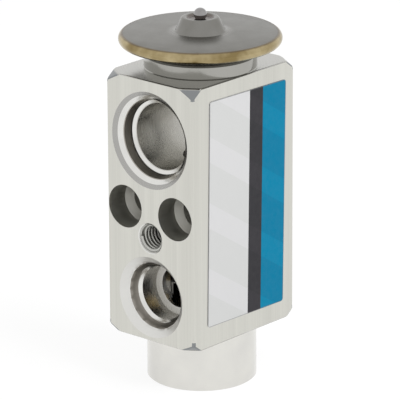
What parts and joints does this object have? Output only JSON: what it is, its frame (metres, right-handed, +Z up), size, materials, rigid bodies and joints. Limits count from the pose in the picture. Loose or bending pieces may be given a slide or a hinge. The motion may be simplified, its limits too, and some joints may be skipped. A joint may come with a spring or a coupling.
{
  "type": "block expansion valve",
  "caption": "Upright block expansion valve with a round diaphragm head, two through suction ports, offset liquid ports, fixing holes and a round boss below.",
  "frame": {"origin": "middle of the boss's foot, at the bottom of the part's box, on the valve's axis", "axes": "+Z up the valve's axis to the head; -Y out of the ported face that the picture shows on the left; +X out of the face with the label"},
  "size_m": [0.0362, 0.0362, 0.0851],
  "materials": {
    "body_aluminium": "milled faces and turned ends, satin",
    "head_steel": "pressed stainless sheet, satin, with a heat-tinted welded bead",
    "ball_steel": "polished ball",
    "sheet_steel": "rolled spring sheet",
    "seal_rubber": "matt moulded rubber",
    "pad_brass": "turned",
    "pin_aluminium": "turned",
    "rod_steel": "ground",
    "seat_steel": "turned",
    "spring_steel": "drawn wire, ground ends",
    "nut_brass": "turned and threaded",
    "label_film": "printed silver film"
  },
  "bodies": {
    "valve_body": {"valve_body": "body_aluminium", "head_cover": "head_steel", "charge_ball": "ball_steel", "diaphragm": "sheet_steel", "head_base": "head_steel", "head_seal": "seal_rubber", "rod_seal": "seal_rubber", "seal_retainer": "sheet_steel", "seat_ring": "seat_steel", "superheat_spring": "spring_steel", "label": "label_film"},
    "valve_stem": {"diaphragm_pad": "pad_brass", "sensing_pin": "pin_aluminium", "push_rod": "rod_steel", "valve_ball": "ball_steel", "ball_carriage": "pad_brass", "damper_spring": "sheet_steel"},
    "nut_ring": {"nut_seal": "seal_rubber"},
    "adjusting_nut": {"adjusting_nut": "nut_brass"}
  },
  "joints": [
    {"name": "valve_stroke", "type": "slide", "parent": "valve_body", "child": "valve_stem", "axis": [0, 0, -1], "range_m": [0, 0.0005], "stiffness_N_per_m": 400, "springref_m": -0.003, "deforming": ["superheat_spring", "diaphragm"]},
    {"name": "nut_travel", "type": "slide", "parent": "valve_body", "child": "nut_ring", "axis": [0, 0, 1], "range_m": [-0.001, 0.001], "deforming": ["superheat_spring"]},
    {"name": "nut_turn", "type": "hinge", "parent": "nut_ring", "child": "adjusting_nut", "pos_m": [0, 0, 0.005], "axis": [0, 0, 1], "range_deg": [-360, 360]}
  ],
  "couplings": [
    {"joint": "nut_turn", "follows": "nut_travel", "rad_per_m": 6283}
  ]
}
